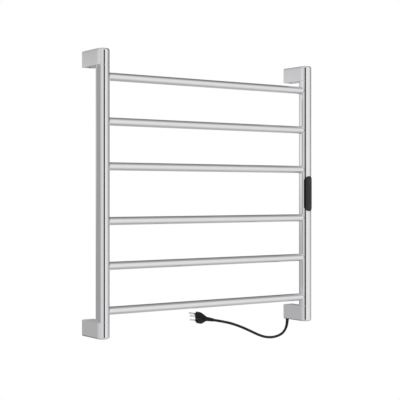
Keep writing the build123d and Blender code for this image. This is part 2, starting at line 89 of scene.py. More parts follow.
def finish_piece(piece, material_name, body="rack"):
    """Smooth shading except at sharp edges, a material and the body it rides on."""
    piece.data.shade_smooth()
    piece.data.set_sharp_from_angle(angle=SMOOTH_ANGLE)
    piece.data.materials.clear()
    piece.data.materials.append(MATERIALS[material_name])
    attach(piece, body)
    return piece


def build_piece(name, points, faces, material_name, body="rack"):
    return finish_piece(raw_object(name, points, faces), material_name, body)


def apply_modifiers(piece):
    """Give the piece the mesh that its modifiers make, and drop the modifiers."""
    scene_now = bpy.context.evaluated_depsgraph_get()
    mesh = bpy.data.meshes.new_from_object(piece.evaluated_get(scene_now))
    piece.modifiers.clear()
    piece.data = mesh


def bridge_rings(rings, closed=True, first_cap=False, last_cap=False):
    """Points and faces of a skin through rings of equal length, each a closed or open line."""
    count = len(rings[0])
    points = [point for ring in rings for point in ring]
    steps = count if closed else count - 1
    faces = []
    for row in range(len(rings) - 1):
        for step in range(steps):
            here = row * count + step
            beside = row * count + (step + 1) % count
            faces.append((here, beside, beside + count, here + count))
    if first_cap:
        faces.append(tuple(reversed(range(count))))
    if last_cap:
        last = (len(rings) - 1) * count
        faces.append(tuple(range(last, last + count)))
    return points, faces


def close_loop(rings):
    """Points and faces of a skin whose last ring joins its first."""
    count = len(rings[0])
    total = count * len(rings)
    points = [point for ring in rings for point in ring]
    faces = []
    for row in range(len(rings)):
        for step in range(count):
            here = row * count + step
            beside = row * count + (step + 1) % count
            faces.append((here, beside, (beside + count) % total, (here + count) % total))
    return points, faces


def circle_ring(centre, across, upward, radius, segments):
    """A ring of points about centre, in the plane of two unit directions."""
    ring = []
    for step in range(segments):
        turn = 2 * math.pi * step / segments
        ring.append(centre + across * radius * math.cos(turn) + upward * radius * math.sin(turn))
    return ring


def lathe(profile, origin, axis, across, segments):
    """Rings for a profile of (radius, along) pairs, turned about axis through origin."""
    upward = axis.cross(across)
    return [
        circle_ring(origin + axis * along, across, upward, radius, segments)
        for radius, along in profile
    ]


def flip_faces(faces):
    return [tuple(reversed(face)) for face in faces]


def quarter(steps):
    """Angles from 0 to a right angle."""
    return [math.pi / 2 * step / steps for step in range(steps + 1)]


def mix_sizes(first, second, share):
    return [a + (b - a) * share for a, b in zip(first, second)]


# ---- materials -----------------------------------------------------------------------------------
# Noise scales are in waves per metre. A drift is the span of a noise's values that is used.
COLOUR_DRIFT = (0.35, 0.65)
GLOSS_DRIFT = (0.3, 0.7)
HAZE_SCALE = 26.0
SMEAR_SCALE = 9.0
SMEAR_STRETCH = (1, 1, 0.35)
METAL_BUMP = 0.25
PLASTIC_DRIFT_SCALE = 40.0
PLASTIC_GLOSS_SCALE = 220.0
PLASTIC_BUMP = 0.5
COAT_ROUGHNESS = 0.05
TRACK_SCALE = 260.0
TRACK_WIDTH = 0.06
MASK_GLOSS_SCALE = 300.0
MASK_ROUGHNESS = (0.25, 0.4)


def surface_nodes(name):
    """A new material with its Principled shader and object coordinates."""
    material = bpy.data.materials.new(name)
    material.use_nodes = True
    nodes = material.node_tree.nodes
    shader = nodes["Principled BSDF"]
    place = nodes.new("ShaderNodeTexCoord")
    return material, nodes, material.node_tree.links, shader, place.outputs["Object"]


def add_noise(nodes, links, place, scale, detail=3.0, stretch=(1, 1, 1)):
    """A noise texture in object space, with scale in waves per metre."""
    mapping = nodes.new("ShaderNodeMapping")
    mapping.inputs["Scale"].default_value = stretch
    links.new(place, mapping.inputs["Vector"])
    noise = nodes.new("ShaderNodeTexNoise")
    noise.inputs["Scale"].default_value = scale
    noise.inputs["Detail"].default_value = detail
    links.new(mapping.outputs["Vector"], noise.inputs["Vector"])
    return noise.outputs["Fac"]


def vary_colour(nodes, links, shader, fac, dark, light):
    """Base colour that wanders between two close colours."""
    ramp = nodes.new("ShaderNodeValToRGB")
    for element, position, colour in zip(ramp.color_ramp.elements, COLOUR_DRIFT, (dark, light)):
        element.position = position
        element.color = (*colour, 1)
    links.new(fac, ramp.inputs["Fac"])
    links.new(ramp.outputs["Color"], shader.inputs["Base Color"])


def vary_roughness(nodes, links, shader, fac, low, high):
    spread = nodes.new("ShaderNodeMapRange")
    spread.inputs["From Min"].default_value = GLOSS_DRIFT[0]
    spread.inputs["From Max"].default_value = GLOSS_DRIFT[1]
    spread.inputs["To Min"].default_value = low
    spread.inputs["To Max"].default_value = high
    links.new(fac, spread.inputs["Value"])
    links.new(spread.outputs["Result"], shader.inputs["Roughness"])


def add_bump(nodes, links, shader, fac, strength, height):
    bump = nodes.new("ShaderNodeBump")
    bump.inputs["Strength"].default_value = strength
    bump.inputs["Distance"].default_value = height
    links.new(fac, bump.inputs["Height"])
    links.new(bump.outputs["Normal"], shader.inputs["Normal"])


def polished_metal(name, dark, light, roughness, wave_scale, bump_height):
    """Plated metal: a mirror with a faint haze and the slightest waviness of polishing."""
    material, nodes, links, shader, place = surface_nodes(name)
    shader.inputs["Metallic"].default_value = 1.0
    haze = add_noise(nodes, links, place, HAZE_SCALE, detail=4.0)
    vary_colour(nodes, links, shader, haze, dark, light)
    smear = add_noise(nodes, links, place, SMEAR_SCALE, detail=5.0, stretch=SMEAR_STRETCH)
    vary_roughness(nodes, links, shader, smear, *roughness)
    wave = add_noise(nodes, links, place, wave_scale, detail=1.0)
    add_bump(nodes, links, shader, wave, METAL_BUMP, bump_height)
    return material


def moulded_plastic(
    name, dark, light, roughness, grain_scale, grain_height, coat=0.0, specular=0.5
):
    """Moulded plastic or rubber: a fine grain, uneven gloss and a little colour drift."""
    material, nodes, links, shader, place = surface_nodes(name)
    drift = add_noise(nodes, links, place, PLASTIC_DRIFT_SCALE, detail=4.0)
    vary_colour(nodes, links, shader, drift, dark, light)
    gloss = add_noise(nodes, links, place, PLASTIC_GLOSS_SCALE, detail=5.0)
    vary_roughness(nodes, links, shader, gloss, *roughness)
    grain = add_noise(nodes, links, place, grain_scale, detail=2.0)
    add_bump(nodes, links, shader, grain, PLASTIC_BUMP, grain_height)
    shader.inputs["Coat Weight"].default_value = coat
    shader.inputs["Coat Roughness"].default_value = COAT_ROUGHNESS
    shader.inputs["Specular IOR Level"].default_value = specular
    return material


def board_laminate(name):
    """Green solder mask with the pale tracks of a circuit under it."""
    material, nodes, links, shader, place = surface_nodes(name)
    tracks = nodes.new("ShaderNodeTexBrick")
    tracks.inputs["Scale"].default_value = TRACK_SCALE
    tracks.inputs["Mortar Size"].default_value = TRACK_WIDTH
    tracks.inputs["Color1"].default_value = (0.02, 0.12, 0.05, 1)
    tracks.inputs["Color2"].default_value = (0.02, 0.15, 0.06, 1)
    tracks.inputs["Mortar"].default_value = (0.08, 0.32, 0.12, 1)
    links.new(place, tracks.inputs["Vector"])
    links.new(tracks.outputs["Color"], shader.inputs["Base Color"])
    gloss = add_noise(nodes, links, place, MASK_GLOSS_SCALE)
    vary_roughness(nodes, links, shader, gloss, *MASK_ROUGHNESS)
    return material


# Each row: darkest and lightest colour, lowest and highest roughness, waves of the bump per
# metre and its height. A plastic may end with the weight of a clear coat and its specular level.
METALS = {
    "polished_chrome": (
        (0.762, 0.762, 0.777), (0.778, 0.778, 0.793), (0.03, 0.06), 60.0, 0.02 * MM
    ),
    "zinc_steel": ((0.46, 0.46, 0.43), (0.62, 0.61, 0.57), (0.28, 0.45), 900.0, 0.04 * MM),
    "black_steel": ((0.02, 0.02, 0.02), (0.05, 0.05, 0.05), (0.35, 0.5), 1500.0, 0.03 * MM),
    "nickel_pins": ((0.80, 0.79, 0.77), (0.88, 0.87, 0.85), (0.12, 0.22), 700.0, 0.02 * MM),
}
PLASTICS = {
    "black_pvc": (
        (0.008, 0.008, 0.009), (0.014, 0.014, 0.015), (0.42, 0.6), 2200.0, 0.01 * MM, 0.0, 0.28
    ),
    "control_black": (
        (0.002, 0.002, 0.002), (0.004, 0.004, 0.004), (0.09, 0.14), 1400.0, 0.003 * MM
    ),
    "control_face_grey": (
        (0.003, 0.003, 0.003), (0.005, 0.005, 0.005), (0.08, 0.12), 1400.0, 0.003 * MM
    ),
    "button_grey": (
        (0.015, 0.015, 0.016), (0.021, 0.021, 0.022), (0.2, 0.3), 2400.0, 0.004 * MM
    ),
    "status_lens_clear": (
        (0.05, 0.045, 0.045), (0.07, 0.06, 0.06), (0.08, 0.14), 1500.0, 0.004 * MM, 0.8
    ),
    "seal_rubber": (
        (0.012, 0.012, 0.012), (0.02, 0.02, 0.02), (0.6, 0.75), 2400.0, 0.04 * MM
    ),
    "silicone_cable": ((0.34, 0.07, 0.04), (0.42, 0.10, 0.06), (0.45, 0.6), 1800.0, 0.03 * MM),
    "core_insulation": ((0.18, 0.09, 0.02), (0.24, 0.13, 0.03), (0.35, 0.5), 2200.0, 0.02 * MM),
    "terminal_nylon": ((0.62, 0.59, 0.50), (0.70, 0.67, 0.58), (0.4, 0.55), 1600.0, 0.03 * MM),
    "component_plastic": (
        (0.015, 0.015, 0.017), (0.03, 0.03, 0.032), (0.4, 0.55), 2000.0, 0.03 * MM
    ),
}
MATERIALS = {}
for metal_name, metal_look in METALS.items():
    MATERIALS[metal_name] = polished_metal(metal_name, *metal_look)
for plastic_name, plastic_look in PLASTICS.items():
    MATERIALS[plastic_name] = moulded_plastic(plastic_name, *plastic_look)
MATERIALS["board_laminate"] = board_laminate("board_laminate")


def dress_cad_nodes():
    """Every CAD node takes the material of its slot in the record."""
    for entry in frame["record"]["subparts"]:
        mesh = frame["nodes"][entry["node"]].data
        mesh.materials.clear()
        mesh.materials.append(MATERIALS[entry["material_slot"]])


dress_cad_nodes()


# ---- mains cord: leaves the lower right bracket, turns under it and rises to its plug ------------
CORD_EXIT = Vector((0.2970, -0.0075, -0.3350))
CORD_ROUTE = [
    CORD_EXIT,
    Vector((0.2965, -0.0075, -0.3470)),
    Vector((0.2913, -0.0079, -0.3612)),
    Vector((0.2798, -0.0093, -0.3718)),
    Vector((0.2625, -0.0120, -0.3775)),
    Vector((0.2386, -0.0158, -0.3796)),
    Vector((0.2118, -0.0202, -0.3763)),
    Vector((0.1851, -0.0249, -0.3679)),
    Vector((0.1565, -0.0299, -0.3558)),
    Vector((0.1205, -0.0352, -0.3411)),
    Vector((0.0860, -0.0379, -0.3294)),
    Vector((0.0572, -0.03678, -0.32266)),
    Vector((0.03484, -0.03364, -0.31827)),
]
CORD_RADIUS = 3.3 * MM
CORD_SEGMENTS = 32
CORD_ORDER = 3
CORD_SPAN_STEPS = 24
CORD_BEVEL_STEPS = 10
ALMOST_CORD = 3.0 * MM
TANGENT_SPAN = 0.5 * MM
GROOVE_HALF_WIDTH = 0.6 * MM
GROOVE_EASE = 0.2 * MM
BOOT_LENGTH = 24.0 * MM
BOOT_COLLAR = 3.0 * MM
BOOT_ROOT = 4.4 * MM
BOOT_TIP = 3.55 * MM
BOOT_GROOVES = 6
BOOT_FIRST_GROOVE = 5.0 * MM
BOOT_PITCH = 3.0 * MM
BOOT_GROOVE_DEPTH = 0.4 * MM
BOOT_TIP_EDGE = 0.2 * MM
BOOT_TIP_LAND = 0.5 * MM
BOOT_TIP_RISE = 0.02 * MM


def cord_curve():
    """The cord as one smooth spline, and the points of its line."""
    curve = bpy.data.curves.new("mains_cord", "CURVE")
    curve.dimensions = "3D"
    spline = curve.splines.new("NURBS")
    spline.points.add(len(CORD_ROUTE) - 1)
    for point, place in zip(spline.points, CORD_ROUTE):
        point.co = (*place, 1)
    spline.order_u = CORD_ORDER
    spline.use_endpoint_u = True
    spline.resolution_u = CORD_SPAN_STEPS
    cord = bpy.data.objects.new("mains_cord", curve)
    bpy.context.scene.collection.objects.link(cord)
    line = bpy.data.meshes.new_from_object(cord)
    line_points = [vertex.co.copy() for vertex in line.vertices]
    curve.bevel_depth = CORD_RADIUS
    curve.bevel_resolution = CORD_BEVEL_STEPS
    curve.use_fill_caps = True
    curve.materials.append(MATERIALS["black_pvc"])
    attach(cord, "rack")
    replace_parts(cord, "power_cord")
    return cord, line_points


def point_along(line, distance):
    """The point that lies distance along a line of points, running straight on at its ends."""
    for before, after in zip(line, line[1:]):
        step = (after - before).length
        if distance <= step:
            break
        distance -= step
    return before + (after - before).normalized() * min(distance, step)


def groove_profile(root, tip, length, middle, depth):
    """(radius, along) points of one rounded groove in a taper from root to tip."""
    radius = root + (tip - root) * middle / length
    return [
        (radius, middle - GROOVE_HALF_WIDTH - GROOVE_EASE),
        (radius - GROOVE_EASE / 2, middle - GROOVE_HALF_WIDTH),
        (radius - depth, middle - GROOVE_HALF_WIDTH + GROOVE_EASE),
        (radius - depth, middle + GROOVE_HALF_WIDTH - GROOVE_EASE),
        (radius - GROOVE_EASE / 2, middle + GROOVE_HALF_WIDTH),
        (radius, middle + GROOVE_HALF_WIDTH + GROOVE_EASE),
    ]


def tapered_boot(line):
    """A ribbed strain relief that follows the cord down from the bracket."""
    profile = [(BOOT_ROOT, 0.0), (BOOT_ROOT, BOOT_COLLAR)]
    for groove in range(BOOT_GROOVES):
        middle = BOOT_FIRST_GROOVE + BOOT_PITCH * groove
        profile.extend(
            groove_profile(BOOT_ROOT, BOOT_TIP, BOOT_LENGTH, middle, BOOT_GROOVE_DEPTH)
        )
    profile.append((BOOT_TIP + BOOT_TIP_RISE, BOOT_LENGTH - BOOT_TIP_LAND))
    profile.append((BOOT_TIP, BOOT_LENGTH - BOOT_TIP_EDGE))
    profile.append((BOOT_TIP - BOOT_TIP_EDGE, BOOT_LENGTH))
    profile.append((ALMOST_CORD, BOOT_LENGTH))
    rings = []
    for radius, along in profile:
        centre = point_along(line, along)
        ahead = point_along(line, along + TANGENT_SPAN)
        behind = point_along(line, max(along - TANGENT_SPAN, 0))
        axis = (ahead - behind).normalized()
        across = (Vector((0, 1, 0)) - axis * axis.y).normalized()
        rings.append(circle_ring(centre, across, axis.cross(across), radius, CORD_SEGMENTS))
    points, faces = bridge_rings(rings, first_cap=True, last_cap=True)
    piece = build_piece("cord_boot", points, faces, "black_pvc")
    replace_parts(piece, "cord_strain_relief")
    return piece


cord, cord_line = cord_curve()
cord_boot = tapered_boot(cord_line)

# ---- plug: a flat hexagon with a ribbed relief and three round, sleeved pins ---------------------
PLUG_ROLL = math.radians(34)
PLUG_LENGTH = 26.0 * MM
PLUG_RELIEF_LENGTH = 22.6 * MM
PLUG_FRONT_LENGTH = 12.0 * MM
PLUG_FRONT = (34.5 * MM, 16.5 * MM, 20.0 * MM)
PLUG_NECK = (14.5 * MM, 11.5 * MM, 8.0 * MM)
PLUG_CORNER = 2.0 * MM
PLUG_CORNER_STEPS = 6
PLUG_ROUNDING = 1.2 * MM
PLUG_ROUNDING_STEPS = 5
PLUG_SHOULDER = 0.1 * MM
PLUG_GROOVES = 4
PLUG_FIRST_GROOVE = 2.4 * MM
PLUG_GROOVE_PITCH = 2.7 * MM
FACE_RIM = 2.0 * MM
FACE_SINK = 0.4 * MM
RELIEF_ROOT = 5.7 * MM
RELIEF_TIP = 4.1 * MM
RELIEF_SEGMENTS = 48
RELIEF_GROOVES = 5
RELIEF_PITCH = 3.2 * MM
RELIEF_GROOVE_DEPTH = 0.5 * MM
RELIEF_BURY = 0.4 * MM
RELIEF_EDGE = 0.3 * MM
RELIEF_TIP_EDGE = 0.2 * MM
PIN_RADIUS = 2.0 * MM
PIN_LENGTH = 20.5 * MM
PIN_TIP = 0.8 * MM
PIN_TIP_STEPS = 6
PIN_ROOT = -3.0 * MM
PIN_SEGMENTS = 32
SLEEVE_LENGTH = 7.0 * MM
SLEEVE_RADIUS = 2.05 * MM
SLEEVE_EDGE = 0.2 * MM
SLEEVE_TAPER = 0.02 * MM
SLEEVE_OVERLAP = 0.1 * MM
PIN_SPOTS = ((-9.5 * MM, 0), (9.5 * MM, 0), (0, 3.0 * MM))
# Across one groove of the body, in millimetres: the place along it and how deep it is there.
PLUG_GROOVE_SHAPE = ((-0.7, 0.0), (-0.5, 0.15), (-0.3, 0.6), (0.3, 0.6), (0.5, 0.15), (0.7, 0.0))
# Where the body ends, in millimetres: how far before its end, and how far in from the neck.
NECK_ROUNDING = ((0.1, 0.15), (0.0, 0.6))
LAST_TAPER_RING = 0.5 * MM
LAST_TAPER_SHARE = 0.96

plug_axis = (cord_line[-1] - cord_line[-2]).normalized()
plug_face = cord_line[-1] + plug_axis * (PLUG_LENGTH + PLUG_RELIEF_LENGTH)
down_the_face = (Vector((0, 0, -1)) + plug_axis * plug_axis.z).normalized()
across_the_face = plug_axis.cross(down_the_face)
pin_row = down_the_face * math.cos(PLUG_ROLL) + across_the_face * math.sin(PLUG_ROLL)
plug_thick = plug_axis.cross(pin_row)


def rounded_polygon(corners, radius, steps):
    """The corners' outline with each corner turned into an arc."""
    outline = []
    for number, corner in enumerate(corners):
        to_before = (corners[number - 1] - corner).normalized()
        to_after = (corners[(number + 1) % len(corners)] - corner).normalized()
        half_angle = to_before.angle(to_after) / 2
        tangent = radius / math.tan(half_angle)
        middle = (to_before + to_after).normalized()
        centre = corner + middle * radius / math.sin(half_angle)
        start = corner + to_before * tangent - centre
        end = corner + to_after * tangent - centre
        for step in range(steps + 1):
            outline.append(centre + start.slerp(end, step / steps).normalized() * radius)
    return outline


def plug_ring(along, sizes, inset=0.0):
    """One ring of the plug's body: sizes are the hexagon's width, thickness and flat."""
    width, thickness, flat = sizes
    half_width = width / 2 - inset
    half_thickness = thickness / 2 - inset
    half_flat = flat / 2 - inset / 2
    corners = [
        Vector((half_width, 0, 0)),
        Vector((half_flat, half_thickness, 0)),
        Vector((-half_flat, half_thickness, 0)),
        Vector((-half_width, 0, 0)),
        Vector((-half_flat, -half_thickness, 0)),
        Vector((half_flat, -half_thickness, 0)),
    ]
    corner = max(PLUG_CORNER - inset / 2, PLUG_CORNER / 2)
    centre = plug_face + plug_axis * along
    return [
        centre + pin_row * place.x + plug_thick * place.y
        for place in rounded_polygon(corners, corner, PLUG_CORNER_STEPS)
    ]


def plug_body():
    """The body, from its sunk face back to the neck, with grooves to grip."""
    rings = [
        plug_ring(-FACE_SINK, PLUG_FRONT, FACE_RIM + SUPPORT),
        plug_ring(-FACE_SINK, PLUG_FRONT, FACE_RIM),
        plug_ring(0, PLUG_FRONT, FACE_RIM - FACE_SINK / 4),
    ]
    for turn in quarter(PLUG_ROUNDING_STEPS):
        inset = PLUG_ROUNDING * (1 - math.sin(turn))
        rings.append(plug_ring(-PLUG_ROUNDING * (1 - math.cos(turn)), PLUG_FRONT, inset))
    rings.append(plug_ring(-PLUG_ROUNDING - SUPPORT, PLUG_FRONT))
    rings.append(plug_ring(-PLUG_FRONT_LENGTH + SUPPORT, PLUG_FRONT))
    rings.append(plug_ring(-PLUG_FRONT_LENGTH, PLUG_FRONT, PLUG_SHOULDER))
    taper_length = PLUG_LENGTH - PLUG_FRONT_LENGTH
    for groove in range(PLUG_GROOVES):
        for offset, depth in PLUG_GROOVE_SHAPE:
            down = PLUG_FIRST_GROOVE + PLUG_GROOVE_PITCH * groove + offset * MM
            sizes = mix_sizes(PLUG_FRONT, PLUG_NECK, down / taper_length)
            rings.append(plug_ring(-PLUG_FRONT_LENGTH - down, sizes, depth * MM))
    last_sizes = mix_sizes(PLUG_FRONT, PLUG_NECK, LAST_TAPER_SHARE)
    rings.append(plug_ring(-PLUG_LENGTH + LAST_TAPER_RING, last_sizes))
    for before_end, inset in NECK_ROUNDING:
        rings.append(plug_ring(-PLUG_LENGTH + before_end * MM, PLUG_NECK, inset * MM))
    points, faces = bridge_rings(rings, first_cap=True, last_cap=True)
    piece = build_piece("plug_body_finish", points, flip_faces(faces), "black_pvc")
    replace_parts(piece, "plug_body")
    return piece


def plug_relief():
    """The ribbed strain relief between the plug's body and the cord."""
    profile = [
        (RELIEF_ROOT - RELIEF_EDGE, RELIEF_BURY),
        (RELIEF_ROOT, 0.0),
        (RELIEF_ROOT, -RELIEF_EDGE),
    ]
    for groove in range(1, RELIEF_GROOVES + 1):
        middle = RELIEF_PITCH * groove
        ribs = groove_profile(
            RELIEF_ROOT, RELIEF_TIP, PLUG_RELIEF_LENGTH, middle, RELIEF_GROOVE_DEPTH
        )
        profile.extend((radius, -along) for radius, along in ribs)
    profile.append((RELIEF_TIP, RELIEF_BURY - PLUG_RELIEF_LENGTH))
    profile.append((RELIEF_TIP - RELIEF_TIP_EDGE, -PLUG_RELIEF_LENGTH))
    profile.append((ALMOST_CORD, -PLUG_RELIEF_LENGTH))
    origin = plug_face - plug_axis * PLUG_LENGTH
    rings = lathe(profile, origin, plug_axis, pin_row, RELIEF_SEGMENTS)
    points, faces = bridge_rings(rings, first_cap=True, last_cap=True)
    piece = build_piece("plug_relief_finish", points, flip_faces(faces), "black_pvc")
    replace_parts(piece, "plug_strain_relief")
    return piece


def plug_pin(number, spot):
    """A pin with a rounded tip and an insulating sleeve at its root."""
    across, thick = spot
    origin = plug_face + pin_row * across + plug_thick * thick
    profile = [(PIN_RADIUS, PIN_ROOT), (PIN_RADIUS, PIN_LENGTH - PIN_TIP - SUPPORT)]
    for turn in quarter(PIN_TIP_STEPS):
        radius = PIN_RADIUS - PIN_TIP * (1 - math.cos(turn))
        profile.append((radius, PIN_LENGTH - PIN_TIP * (1 - math.sin(turn))))
    rings = lathe(profile, origin, plug_axis, pin_row, PIN_SEGMENTS)
    points, faces = bridge_rings(rings, first_cap=True, last_cap=True)
    pin = build_piece(f"plug_pin_{number}", points, faces, "nickel_pins")
    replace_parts(pin, "plug_pins")
    sleeve_profile = [
        (SLEEVE_RADIUS, PIN_ROOT),
        (SLEEVE_RADIUS, SLEEVE_LENGTH - SLEEVE_EDGE),
        (SLEEVE_RADIUS - SLEEVE_TAPER, SLEEVE_LENGTH),
        (PIN_RADIUS - SLEEVE_OVERLAP, SLEEVE_LENGTH),
    ]
    rings = lathe(sleeve_profile, origin, plug_axis, pin_row, PIN_SEGMENTS)
    points, faces = bridge_rings(rings, first_cap=True, last_cap=True)
    return [pin, build_piece(f"plug_sleeve_{number}", points, faces, "black_pvc")]


plug_pieces = [plug_body(), plug_relief()]
for pin_number, pin_spot in enumerate(PIN_SPOTS, 1):
    plug_pieces.extend(plug_pin(pin_number, pin_spot))


# ---- uprights ------------------------------------------------------------------------------------
SHELL_CLEAR = 48.0 * MM
WINDOW_WIDTH = 18.6 * MM
WINDOW_BOTTOM = -36.0 * MM
WINDOW_TOP = 41.0 * MM
WINDOW_CORNER = 4.0 * MM
WINDOW_CORNER_STEPS = 6


def tube_object(side, name):
    """A hollow round tube with eased ends, standing between its two brackets."""
    inner = UPRIGHT_RADIUS - UPRIGHT_WALL
    half_profile = [(inner, TUBE_HALF)]
    for turn in quarter(EASE_STEPS):
        ease_radius = UPRIGHT_RADIUS - JOINT_EASE * (1 - math.sin(turn))
        half_profile.append((ease_radius, TUBE_HALF - JOINT_EASE * (1 - math.cos(turn))))
    half_profile.append((UPRIGHT_RADIUS, TUBE_HALF - JOINT_EASE - SUPPORT))
    half_profile.append((UPRIGHT_RADIUS, SHELL_CLEAR))
    lower_half = [(radius, -along) for radius, along in reversed(half_profile)]
    origin = Vector((side * UPRIGHT_X, RAIL_Y, 0))
    profile = half_profile + lower_half
    rings = lathe(profile, origin, Vector((0, 0, 1)), Vector((1, 0, 0)), TUBE_SEGMENTS)
    points, faces = close_loop(rings)
    return raw_object(f"{name}_finish", points, flip_faces(faces))


def cut_window(tube):
    """Cut the control's window through the front of the tube."""
    corners = [
        Vector((WINDOW_WIDTH / 2, 0, WINDOW_BOTTOM)),
        Vector((WINDOW_WIDTH / 2, 0, WINDOW_TOP)),
        Vector((-WINDOW_WIDTH / 2, 0, WINDOW_TOP)),
        Vector((-WINDOW_WIDTH / 2, 0, WINDOW_BOTTOM)),
    ]
    outline = rounded_polygon(corners, WINDOW_CORNER, WINDOW_CORNER_STEPS)
    rings = []
    for depth in (2 * UPRIGHT_RADIUS, UPRIGHT_WALL):
        rings.append([Vector((UPRIGHT_X, RAIL_Y - depth, 0)) + point for point in outline])
    points, faces = bridge_rings(rings, first_cap=True, last_cap=True)
    cutter = raw_object("window_cutter", points, faces)
    cut = tube.modifiers.new("window", "BOOLEAN")
    cut.operation = "DIFFERENCE"
    cut.solver = "EXACT"
    cut.object = cutter
    apply_modifiers(tube)
    bpy.data.objects.remove(cutter)


for side, upright_name in ((-1, "left_upright_tube"), (1, "right_upright_tube")):
    tube = tube_object(side, upright_name)
    if side > 0:
        cut_window(tube)
    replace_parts(finish_piece(tube, "polished_chrome"), upright_name)


# ---- towel bars, flared into the uprights by a small polished fillet -----------------------------
def bar_ring(level, radius, side, stand_off):
    """A ring round a bar where it meets an upright, held stand_off short of the upright."""
    ring = []
    for step in range(BAR_SEGMENTS):
        turn = 2 * math.pi * step / BAR_SEGMENTS
        across = radius * math.sin(turn)
        surface = UPRIGHT_X - math.sqrt(UPRIGHT_RADIUS**2 - across**2)
        x = side * (surface - stand_off)
        ring.append(Vector((x, RAIL_Y + across, level + radius * math.cos(turn))))
    return ring


def bar_end_rings(level, bar_radius, side):
    """Rings from inside the upright's wall, over the fillet, to the plain bar."""
    rings = [bar_ring(level, bar_radius + WELD_RADIUS, side, -WELD_RADIUS)]
    for turn in reversed(quarter(WELD_STEPS)):
        radius = bar_radius + WELD_RADIUS * (1 - math.cos(turn))
        rings.append(bar_ring(level, radius, side, WELD_RADIUS * (1 - math.sin(turn))))
    rings.append(bar_ring(level, bar_radius, side, WELD_RADIUS + SUPPORT))
    return rings


def towel_bar(name):
    low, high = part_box(name)
    level = (low.z + high.z) / 2
    bar_radius = (high.z - low.z) / 2
    left_end = bar_end_rings(level, bar_radius, -1)
    right_end = bar_end_rings(level, bar_radius, 1)
    rings = left_end + list(reversed(right_end))
    points, faces = bridge_rings(rings, first_cap=True, last_cap=True)
    piece = build_piece(f"{name}_finish", points, faces, "polished_chrome")
    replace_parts(piece, name)
    return piece


for bar_name in BAR_NAMES:
    towel_bar(bar_name)


# ---- brackets: a hollow block, half round in front and open at the wall --------------------------
def bracket_outline(centre_x, inset, height):
    """The bracket's plan, inset from its sides, from one wall edge round to the other."""
    half_width = UPRIGHT_RADIUS - inset
    outline = [Vector((centre_x - half_width, 0, height))]
    outline.append(Vector((centre_x - half_width, RAIL_Y + SUPPORT, height)))
    front_steps = TUBE_SEGMENTS // 2
    for step in range(front_steps + 1):
        turn = math.pi * step / front_steps
        x = centre_x - half_width * math.cos(turn)
        outline.append(Vector((x, RAIL_Y - half_width * math.sin(turn), height)))
    outline.append(Vector((centre_x + half_width, RAIL_Y + SUPPORT, height)))
    outline.append(Vector((centre_x + half_width, 0, height)))
    return outline


def bracket(side, level, name):
    centre_x = side * UPRIGHT_X
    joint = level * TUBE_HALF
    end = level * OVERALL_HALF
    rings = [bracket_outline(centre_x, JOINT_EASE + SUPPORT, joint)]
    for turn in quarter(EASE_STEPS):
        inset = JOINT_EASE * (1 - math.sin(turn))
        rise = JOINT_EASE * (1 - math.cos(turn))
        rings.append(bracket_outline(centre_x, inset, joint + level * rise))
    rings.append(bracket_outline(centre_x, 0, joint + level * (JOINT_EASE + SUPPORT)))
    rings.append(bracket_outline(centre_x, 0, end - level * (BRACKET_FILLET + SUPPORT)))
    for turn in quarter(BRACKET_FILLET_STEPS):
        inset = BRACKET_FILLET * (1 - math.cos(turn))
        drop = BRACKET_FILLET * (1 - math.sin(turn))
        rings.append(bracket_outline(centre_x, inset, end - level * drop))
    rings.append(bracket_outline(centre_x, BRACKET_FILLET + SUPPORT, end))
    points, faces = bridge_rings(rings, closed=False, first_cap=True, last_cap=True)
    if level < 0:
        faces = flip_faces(faces)
    piece = raw_object(f"{name}_finish", points, faces)
    walls = piece.modifiers.new("walls", "SOLIDIFY")
    walls.thickness = BRACKET_WALL
    walls.offset = -1
    walls.use_even_offset = True
    apply_modifiers(piece)
    finish_piece(piece, "polished_chrome")
    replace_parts(piece, name)
    return piece


for side, side_name in ((-1, "left"), (1, "right")):
    bracket(side, 1, f"upper_{side_name}_bracket")
    bracket(side, -1, f"lower_{side_name}_bracket")


# ---- control: a glossy shell that hugs the front of the right upright ----------------------------
housing_low, housing_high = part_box("control_housing")
CONTROL_HALF_WIDTH = (housing_high.x - housing_low.x) / 2
CONTROL_HALF_HEIGHT = (housing_high.z - housing_low.z) / 2
CONTROL_OUTER = RAIL_Y - housing_low.y
CONTROL_CORNER = 12.0 * MM
CONTROL_EDGE = 0.8 * MM
CONTROL_EDGE_STEPS = 8
CONTROL_LIP = 2.5 * MM
LIP_EASE = 0.15 * MM
LIP_WIDTH = 1.5 * MM
SHELL_INNER = UPRIGHT_RADIUS + 0.42 * MM
FACE_FLOOR = CONTROL_OUTER - 0.5 * MM
CORNER_STEPS = 20
button_low, button_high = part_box("power_button")
BUTTON_Z = (button_low.z + button_high.z) / 2
BUTTON_OUTER = RAIL_Y - button_low.y
FLANGE_BACK = button_high.y
FLANGE_THICKNESS = 0.7 * MM
FLANGE_RADIUS = (button_high.z - button_low.z) / 2
BUTTON_RADIUS = 5.7 * MM
BUTTON_EDGE = 0.25 * MM
BUTTON_EDGE_STEPS = 4
BUTTON_SEGMENTS = 64
# The front of the button, in millimetres: the radius of a ring and how far it is sunk.
GROOVE_AND_DISH = (
    (4.70, 0.0), (4.55, 0.02), (4.45, 0.16), (4.15, 0.16), (4.05, 0.02), (3.90, 0.0),
    (3.40, 0.03), (2.60, 0.08), (1.60, 0.12), (0.60, 0.14), (0.15, 0.14),
)


def on_the_shell(radius, x, z):
    """The point at (x, z), measured from the right upright's middle, on a round shell."""
    return Vector((UPRIGHT_X + x, RAIL_Y - math.sqrt(radius**2 - x**2), z))


